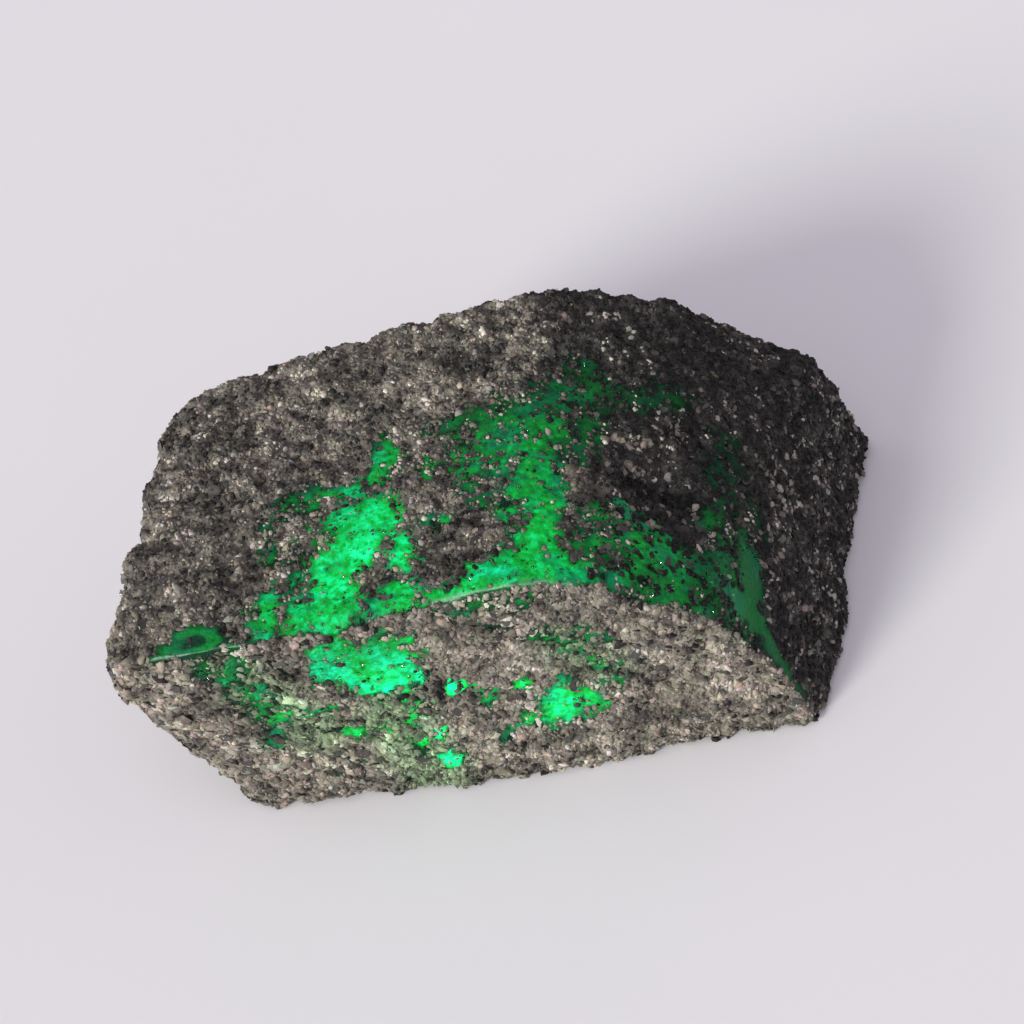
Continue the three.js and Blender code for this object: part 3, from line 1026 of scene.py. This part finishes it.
def schist_shader(n):
    """The schist between the grains, in the body's own colour, broken up by specks and noise."""
    speck = n.math("MULTIPLY", n.specks(0.34 * MM, 0.45, 1.5), n.ramp(n.noise(0.2 * MM), 0.3, 0.7, 0.6, 1.3))
    shaded = n.mix(1.0, n.attribute("schist", "Color"), n.grey(speck), "MULTIPLY")
    return n.add("BsdfPrincipled", {
        "Base Color": shaded, "Roughness": n.ramp(n.noise(0.5 * MM), 0.3, 0.7, 0.55, 0.9),
        "Normal": n.bump(n.noise(0.25 * MM, 4.0), 0.12 * MM),
    }).outputs[0]


# %% [markdown]
# Rough emerald is too cloudy to see through, but light from inside comes out of it everywhere. Glass would
# show the far side of the crust, and a glowing paint would ignore the lamps. So its shader is a translucent
# skin, which passes on the light that falls on it from within, under a worn gloss. A veil of noise makes it
# glow more in some places than in others. Where a patch is clearer, the colour ramps turn its green a little
# towards blue, painted in the way strong light would shift it. Polished faces get a paler teal gloss, a
# painted sheen, and the ridge a pale painted highlight.

# %% Emerald lit from within
EMERALD_IOR = 1.58
# painted light: the upper stops of both ramps turn bluer, standing for how strong light shifts the green
LEAFY_GREENS = [
    (0.0, (0.0, 0.008, 0.002)), (0.25, (0.0, 0.15, 0.018)), (0.5, (0.0, 0.41, 0.034)),
    (0.78, (0.0, 0.72, 0.19)), (1.0, (0.01, 0.88, 0.37))]
BLUISH_GREENS = [
    (0.0, (0.0, 0.012, 0.006)), (0.25, (0.0, 0.15, 0.062)), (0.5, (0.0, 0.38, 0.10)),
    (0.78, (0.0, 0.72, 0.29)), (1.0, (0.01, 0.88, 0.47))]


def emerald_shader(n):
    """Emerald lit from within, cloudy, with a worn gloss, a painted sheen on polished faces and a painted
    highlight on the ridge.
    """
    polish = n.attribute("polish")
    veil = n.math("MULTIPLY", n.ramp(n.noise(0.55 * MM, 4.0, 0.6), 0.34, 0.64, 0.55, 1.06),
                  n.ramp(n.noise(1.7 * MM, 2.0), 0.35, 0.65, 0.72, 1.08))
    veil = n.math("MULTIPLY", veil, n.specks(0.30 * MM, 0.76, 1.16))
    veil = n.add("Mix", {0: n.math("MULTIPLY", polish, 0.6), 2: veil, 3: 0.85}).outputs[0]
    light = n.math("MULTIPLY", n.attribute("clear"), veil)
    leafy = n.colours(light, LEAFY_GREENS)
    bluish = n.colours(light, BLUISH_GREENS)
    through = n.mix(n.ramp(n.noise(2.4 * MM, 3.0), 0.46, 0.62), leafy, bluish)
    relief = n.bump(n.noise(0.35 * MM, 4.0, 0.6), 0.14 * MM)
    glow = n.add("BsdfTranslucent", {"Color": through, "Normal": relief}).outputs[0]
    # painted highlight: along the ridge the edge attribute mixes a pale colour into the gloss, and gives the
    # gloss more of the mix
    edge = n.attribute("edge")
    # painted sheen: polished faces get a paler teal gloss colour, standing for a reflection of the room
    skin_and_painted_sheen = n.mix(polish, (0.002, 0.045, 0.022, 1), (0.008, 0.110, 0.062, 1))
    skin = n.add("BsdfPrincipled", {
        "Base Color": n.mix(edge, skin_and_painted_sheen, (0.23, 0.45, 0.31, 1)), "IOR": EMERALD_IOR, "Normal": relief,
        "Roughness": n.ramp(n.noise(0.8 * MM), 0.3, 0.7, 0.22, 0.5),
    }).outputs[0]
    share = n.ramp(edge, 0.0, 1.0, 0.36, 0.75)
    return n.add("MixShader", {0: share, 1: glow, 2: skin}).outputs[0]


# %% [markdown]
# The "worn" attribute says which of the two shows. Fine noise frays the line between them, except on the
# polished faces, whose edges are straight.

# %% The body's material


def body_material():
    """Schist where the crust is, emerald where it has worn off."""
    n = Nodes("emerald and schist")
    fray = n.math("MULTIPLY", n.math("SUBTRACT", n.noise(0.40 * MM, 4.0, 0.7), 0.5), 1.7)
    kept_edge = n.math("SUBTRACT", 1.0, n.attribute("polish"))
    frayed = n.math("ADD", n.attribute("worn"), n.math("MULTIPLY", fray, kept_edge))
    is_emerald = n.ramp(frayed, 0.47, 0.54)
    return n.finish(n.add("MixShader", {0: is_emerald, 1: schist_shader(n), 2: emerald_shader(n)}).outputs[0])


body.data.materials.append(body_material())

# %% [markdown]
# A grain's material takes its colour from the mesh and breaks it up with fine noise, as a real grain has
# cracks and stains. One material for each colour would mean hundreds, so the colour is an attribute, and
# three materials serve all. Plates of mica gleam, and dark grains send back less light than pale ones do.

# %% The grains' materials


def grain_material(name, roughness, contrast, specular=0.5):
    """Grains in their own colours, between two roughnesses, each with cracks and stains."""
    n = Nodes(name)
    shade = n.math("MULTIPLY", n.ramp(n.noise(0.32 * MM, 3.0, 0.6), 0.3, 0.7, 1 - contrast, 1 + contrast),
                   n.ramp(n.noise(0.12 * MM, 2.0), 0.3, 0.7, 0.9, 1.1))
    colour = n.mix(1.0, n.attribute("mineral", "Color"), n.grey(shade), "MULTIPLY")
    return n.finish(n.add("BsdfPrincipled", {
        "Base Color": colour, "Roughness": n.ramp(n.noise(0.4 * MM), 0.3, 0.7, *roughness),
        "Normal": n.bump(n.noise(0.2 * MM, 3.0), 0.04 * MM), "Specular IOR Level": specular,
    }).outputs[0])


dark_material = grain_material("dark mica grains", (0.35, 0.7), 0.3, specular=0.2)
pale_material = grain_material("quartz and feldspar grains", (0.45, 0.85), 0.25, specular=0.35)
flake_material = grain_material("mica plates", (0.10, 0.30), 0.4)
for piece in dark_grains:
    piece.data.materials.append(dark_material)
for piece in pale_grains:
    piece.data.materials.append(pale_material)
flakes.data.materials.append(flake_material)

# %% [markdown]
# The loose chips are clear crystal, so they are plain see-through green glass with emerald's own index of
# refraction. A little cloudiness keeps the light from passing quite straight.

# %% The chips' material


def chip_material():
    """Clear green crystal, a little cloudy."""
    n = Nodes("clear emerald chips")
    tint = n.mix(n.noise(0.3 * MM), (0.10, 0.75, 0.30, 1), (0.35, 0.95, 0.55, 1))
    return n.finish(n.add("BsdfPrincipled", {
        "Base Color": tint, "Roughness": n.ramp(n.noise(0.2 * MM), 0.3, 0.7, 0.03, 0.2),
        "IOR": EMERALD_IOR, "Transmission Weight": 1.0,
    }).outputs[0])


chips.data.materials.append(chip_material())

# %% [markdown]
# Daylight comes low from a window at the front left, which throws the long soft shadow. A much wider and
# weaker light from the upper left stands for the rest of the room. Both are sun lamps, because a sun lamp
# lights the whole floor evenly, and its angle sets how soft its shadow is. The pale world fills what is
# left. Four points of light inside the stone make the emerald glow, as a small torch held against its foot
# does. Three of them sit near the front wall and a weak one further back, so the patches near the front
# blaze and the far ones only glimmer.

# %% Lights


def add_lamp(name, kind, place, power, colour=(1, 1, 1), **settings):
    """Adds a lamp at a place in millimetres, which looks at the middle of the stone."""
    data = bpy.data.lights.new(name, kind)
    data.energy = power
    data.color = colour
    for setting, value in settings.items():
        setattr(data, setting, value)
    lamp = bpy.data.objects.new(name, data)
    bpy.context.scene.collection.objects.link(lamp)
    lamp.location = Vector(place) * MM
    lamp.rotation_euler = (lamp.location - CAMERA_AIM).to_track_quat("Z", "Y").to_euler()
    print(name, "has a strength of", power)


add_lamp("window_light", "SUN", (-315, -246, 130), 3.50, (1.0, 1.01, 0.90), angle=math.radians(15))
add_lamp("room_light", "SUN", (-300, -110, 320), 1.20, (1.0, 0.96, 1.04), angle=math.radians(90))
GLOW_LAMPS = [
    # name, place in millimetres, watts
    ("glow_lamp", (-8.8, -9.3, 7.5), 0.0066),
    ("glow_lamp_left", (-19.5, -10.5, 9), 0.0021),
    ("glow_lamp_right", (2.2, -9.6, 8), 0.0028),
    ("glow_lamp_back", (0.5, 1.0, 9), 0.0014),
]
for name, place, power in GLOW_LAMPS:
    add_lamp(name, "POINT", place, power, shadow_soft_size=2 * MM)

world = bpy.data.worlds.new("studio")
world.use_nodes = True
world.node_tree.nodes["Background"].inputs["Color"].default_value = (0.98, 0.93, 1.03, 1)
world.node_tree.nodes["Background"].inputs["Strength"].default_value = 0.34
bpy.context.scene.world = world
bpy.context.scene.view_settings.view_transform = "Standard"
print("the world is lit evenly, beside", 2 + len(GLOW_LAMPS), "lamps")

# %% [markdown]
# The floor is a sheet of pale paper. It could be just as large as the picture needs, but then its edge would
# cut across the view from low angles. It is so wide that its edge is all but on the horizon, where only the
# lowest views still show it. Faint clouds keep the paper from looking like a flat colour.

# %% Floor
bpy.ops.object.select_all(action="DESELECT")
bpy.ops.mesh.primitive_plane_add(size=30, location=(0, 0, 0))
floor = bpy.context.active_object
floor.name = "floor"
n = Nodes("pale paper")
paper = n.mix(n.noise(60 * MM), (0.79, 0.775, 0.81, 1), (0.82, 0.805, 0.84, 1))
floor.data.materials.append(n.finish(n.add("BsdfPrincipled", {
    "Base Color": paper, "Roughness": 0.8}).outputs[0]))

# %% [markdown]
# The stone has no moving parts, so every piece rides on the one body. The crystal's body stands in for the
# plain solid, and the grains lie on it.

# %% Hand over
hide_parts(STONE)
for piece in [body, flakes] + dark_grains + pale_grains:
    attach(piece, "root")
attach(chips, "root")
bpy.context.view_layer.update()
print("CAD box", [round(1000 * v, 2) for v in (*cad_low, *cad_high)])
